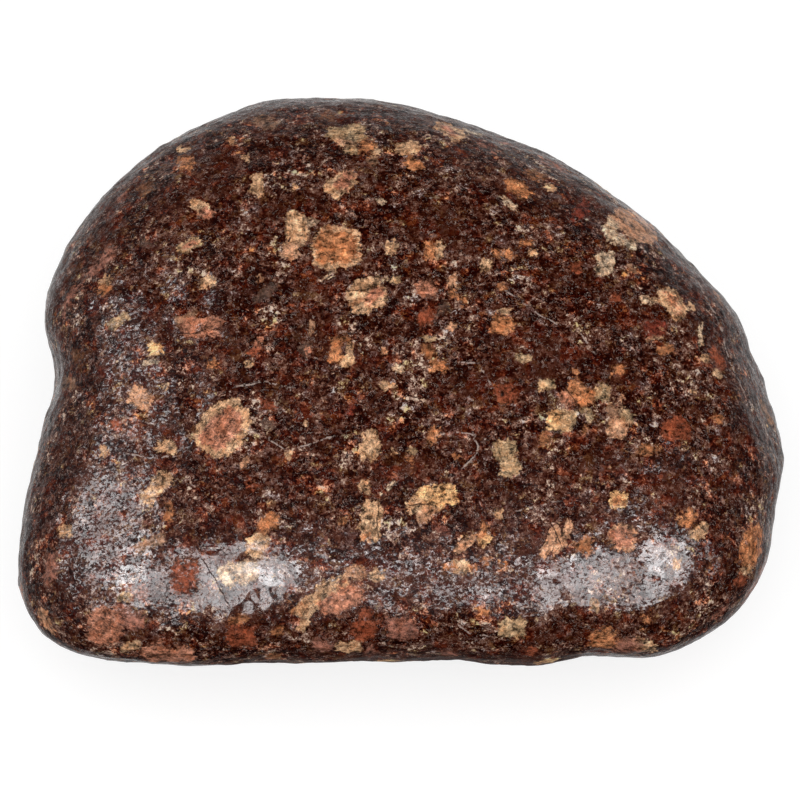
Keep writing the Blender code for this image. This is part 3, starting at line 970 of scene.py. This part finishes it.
# The studio: a tent of even pale light, a pale floor, four wide lights that make the gloss, two in front and
# one on each side, and two soft ones higher up. What the stone's polish mirrors is dim, apart from the
# lights, the paper low behind and a pale screen on the left.
studio = {
    "floorSize": 3.0,
    "floorTone": 0.3,
    "floorGlow": 0.78,
    "floorBounce": 0.10,  # the part of the glow that reaches the stone
    # each light's azimuth and elevation, its width and height, all in degrees as the stone sees them, its
    # radiance, and whether it makes the gloss or the soft shading
    "lights": (
        (-30, 39, 47, 54, 10.5, "gloss"), (30, 39, 47, 54, 10.5, "gloss"), (68, 37, 20, 48, 8.0, "gloss"),
        (-90, 40, 56, 40, 11.0, "gloss"), (-25, 62, 54, 50, 1.25, "soft"), (25, 62, 54, 50, 1.25, "soft")),
    "glossColour": (1.0, 0.975, 0.985),
    "lightDistance": 0.6,
    "tent": 0.55,
    "mirroredPaper": 0.85, "mirroredRest": 0.03,
    # where the paper and the screen begin and are full, along their own way, and where they end, upwards
    "paper": ((-0.25, 0.5), (0.05, 0.45)), "screen": ((0.35, 0.9), (0.3, 0.8)),
}


def makeFloor():
    # A glowing sheet. The camera sees all of its glow, and the stone gets only the bounce.
    half = studio["floorSize"] / 2
    mesh = bpy.data.meshes.new("floor")
    corners = [(-half, -half, 0), (half, -half, 0), (half, half, 0), (-half, half, 0)]
    mesh.from_pydata(corners, [], [(0, 1, 2, 3)])
    floor = bpy.data.objects.new("floor", mesh)
    bpy.context.collection.objects.link(floor)
    material = bpy.data.materials.new("floor_paper")
    board = Board(material)
    paper = board.tree.nodes["Principled BSDF"]
    paper.inputs["Base Color"].default_value = (studio["floorTone"],) * 3 + (1,)
    paper.inputs["Roughness"].default_value = 1
    paper.inputs["Specular IOR Level"].default_value = 0
    paper.inputs["Emission Color"].default_value = (1, 1, 1, 1)
    toCamera = board.add("ShaderNodeLightPath", None, None, "Is Camera Ray")
    bounce = studio["floorBounce"]
    board.plug(paper, "Emission Strength", studio["floorGlow"] * (bounce + (1 - bounce) * toCamera))
    mesh.materials.append(material)
    floor.visible_glossy = False
    return floor


def turnedTo(place, target):
    # The matrix that puts a camera or a light at a place, looking at the target.
    way = Vector(target) - Vector(place)
    return Matrix.Translation(place) @ way.to_track_quat("-Z", "Y").to_matrix().to_4x4()


def makeLight(azimuth, elevation, wide, high, radiance, purpose):
    # A flat light that faces the stone: its power is pi times its radiance times its area.
    light = bpy.data.lights.new(purpose, "AREA")
    light.shape = "RECTANGLE"
    light.size = 2 * studio["lightDistance"] * tan(radians(wide / 2))
    light.size_y = 2 * studio["lightDistance"] * tan(radians(high / 2))
    light.energy = radiance * pi * light.size * light.size_y
    across, up = radians(azimuth), radians(elevation)
    way = np.array((sin(across) * cos(up), -cos(across) * cos(up), sin(up)))
    target = boxMiddle * mm
    light.color = studio["glossColour"] if purpose == "gloss" else (1, 1, 1)
    holder = bpy.data.objects.new(purpose, light)
    holder.matrix_world = turnedTo(target + studio["lightDistance"] * way, target)
    holder.visible_camera = False
    holder.visible_diffuse = purpose == "soft"
    holder.visible_glossy = purpose == "gloss"
    bpy.context.collection.objects.link(holder)


def makeSky():
    # Even light for what is matt, and for what is glossy a dim room with the paper and the screen.
    world = bpy.data.worlds.new("studio")
    bpy.context.scene.world = world
    board = Board(world)
    way = board.add("ShaderNodeTexCoord", None, None, "Generated")
    right, back, up = board.parts(way)
    sheets = [
        board.step(outwards, *studio[name][0]) * board.step(up, *studio[name][1], 1, 0)
        for name, outwards in (("paper", back), ("screen", 0 - right))]
    paper = board.maths("MAXIMUM", *sheets)
    mirrored = studio["mirroredRest"] + studio["mirroredPaper"] * paper
    glossy = board.add("ShaderNodeLightPath", None, None, "Is Glossy Ray")
    level = glossy * mirrored + (1 - glossy) * studio["tent"]
    board.plug(board.tree.nodes["Background"], "Color", level)


def makeCamera():
    lens = bpy.data.cameras.new("camera")
    lens.lens = look["lens"]
    lens.sensor_width = look["sensor"]
    lens.clip_end = 20
    camera = bpy.data.objects.new("camera", lens)
    camera.matrix_world = turnedTo((aim + cameraDistance * wAxis) * mm, aim * mm)
    bpy.context.collection.objects.link(camera)
    bpy.context.scene.camera = camera


makeFloor()
for light in studio["lights"]:
    makeLight(*light)
makeSky()
makeCamera()
bpy.context.scene.view_settings.view_transform = "Standard"
print("studio lit")
